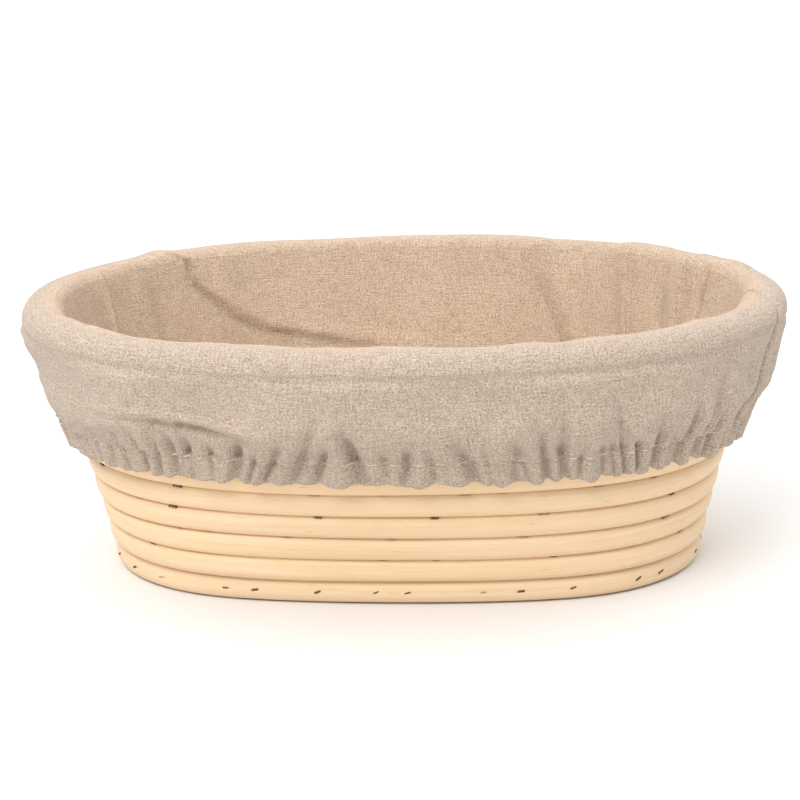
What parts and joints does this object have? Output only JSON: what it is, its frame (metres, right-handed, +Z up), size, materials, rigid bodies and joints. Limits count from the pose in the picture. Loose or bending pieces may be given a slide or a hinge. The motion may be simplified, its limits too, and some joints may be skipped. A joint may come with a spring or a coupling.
{
  "type": "proofing basket",
  "caption": "Oval proofing basket: wound rattan cane with a flared wall, and a lift-out linen liner held over the rim by an elastic hem.",
  "frame": {"origin": "on the surface the basket stands on, under the middle of the basket", "axes": "+Z up, +X along the basket's length, +Y to the long side where the winding steps up"},
  "size_m": [0.2146, 0.1564, 0.0764],
  "materials": {
    "cane": "natural peeled rattan, satin",
    "core_strip": "natural peeled rattan, satin",
    "pin_wire": "darkened steel wire",
    "linen": "natural unbleached plain-weave linen",
    "elastic": "braided flat elastic, matt",
    "thread": "spun sewing thread"
  },
  "bodies": {
    "basket": {"core_strip": "core_strip", "base_cane": "cane", "lower_wall_cane": "cane", "middle_wall_cane": "cane", "rim_cane": "cane", "base_pins": "pin_wire", "foot_pins": "pin_wire", "lower_seam_pins": "pin_wire", "middle_seam_pins": "pin_wire", "upper_seam_pins": "pin_wire"},
    "liner": {"liner_bowl": "linen", "liner_skirt": "linen", "hem_casing": "linen", "hem_elastic": "elastic", "hem_stitches": "thread"}
  },
  "joints": [
    {"name": "liner_lift", "type": "slide", "parent": "basket", "child": "liner", "axis": [0, 0, 1], "range_m": [0, 0.1], "deforming": ["liner_skirt", "hem_casing", "hem_elastic", "hem_stitches"]}
  ]
}
